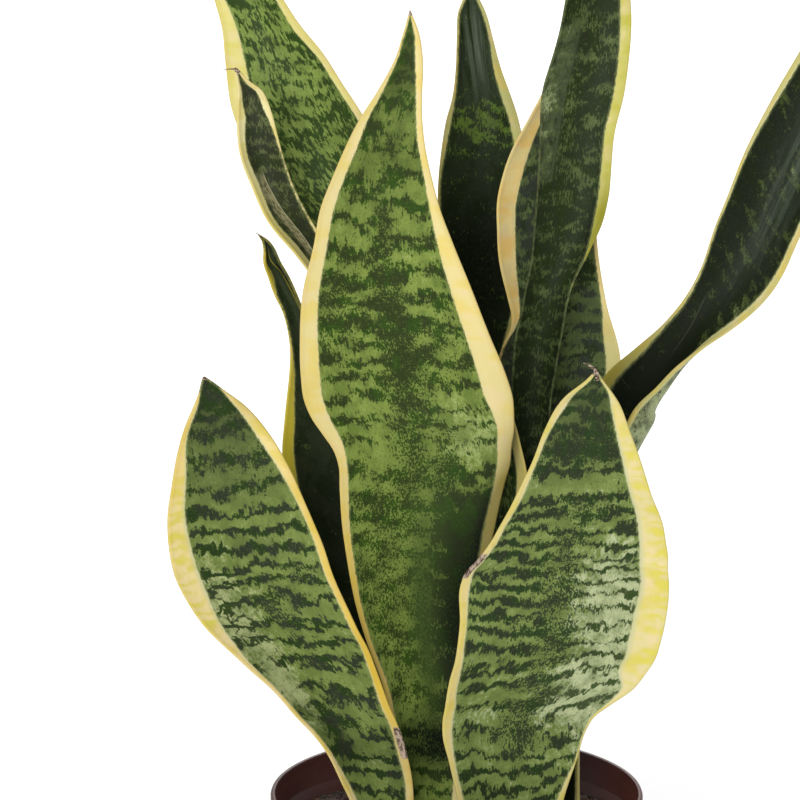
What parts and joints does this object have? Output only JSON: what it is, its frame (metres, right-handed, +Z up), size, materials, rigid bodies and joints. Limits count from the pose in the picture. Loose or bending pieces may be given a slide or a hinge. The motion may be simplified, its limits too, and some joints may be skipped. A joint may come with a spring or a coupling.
{
  "type": "potted snake plant",
  "caption": "Snake plant with upright yellow-edged, cross-banded leaves standing in soil in a plain round nursery pot.",
  "frame": {"origin": "centre of the pot's flat underside", "axes": "+Z up along the pot's axis, -Y towards the front of the plant as pictured, +X to the right in that view"},
  "size_m": [0.2747, 0.14, 0.4841],
  "materials": {
    "pot_plastic": "dark red-brown moulded plastic, slightly glossy",
    "soil": "loose dark potting soil",
    "leaf": "waxy green blade, dark cross bands, cream-yellow edges"
  },
  "bodies": {
    "root": {"pot": "pot_plastic", "soil": "soil", "leaf_front_left": "leaf", "leaf_centre_front": "leaf", "leaf_front_right": "leaf", "leaf_left_narrow": "leaf", "leaf_folded_left": "leaf", "leaf_back_left": "leaf", "leaf_back_centre": "leaf", "leaf_tall_right": "leaf", "leaf_mid_right": "leaf", "leaf_right_arching": "leaf"}
  },
  "joints": []
}
